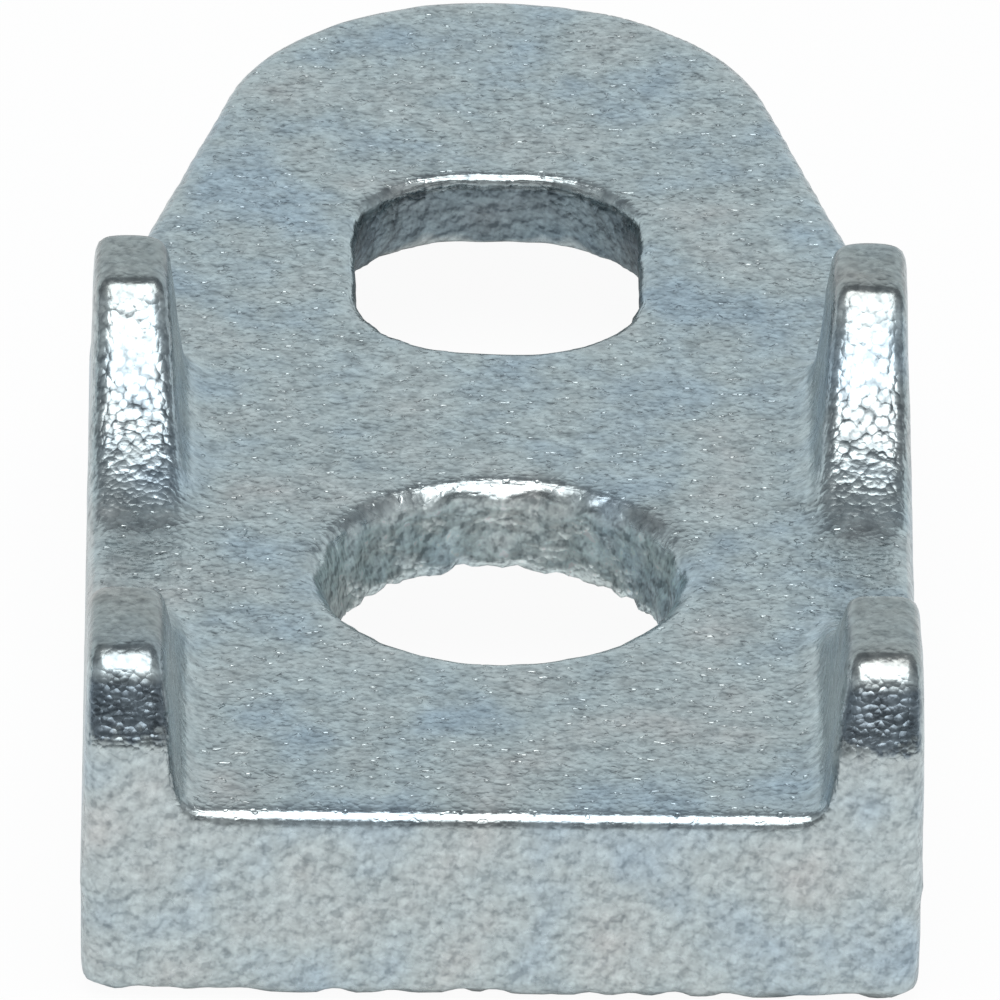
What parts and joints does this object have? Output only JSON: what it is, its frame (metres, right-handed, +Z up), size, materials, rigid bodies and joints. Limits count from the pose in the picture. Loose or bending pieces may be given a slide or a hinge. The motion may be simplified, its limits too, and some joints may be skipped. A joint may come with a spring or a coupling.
{
  "type": "conduit clamp back",
  "caption": "Cast clamp back for a one-hole conduit strap: raised bed with a tapered tongue, slotted bolt hole, seat hole and ears that cradle the conduit.",
  "frame": {"origin": "centre of the bounding box on the mounting face", "axes": "+Y along the length from the cradle end to the tip of the tongue, +X across the width, +Z up off the mounting face towards the conduit"},
  "size_m": [0.0254, 0.054, 0.0111],
  "materials": {
    "zinc_plated_casting": "zinc-plated malleable iron with a fine pebbled skin"
  },
  "bodies": {
    "root": {"clamp_back": "zinc_plated_casting"}
  },
  "joints": []
}
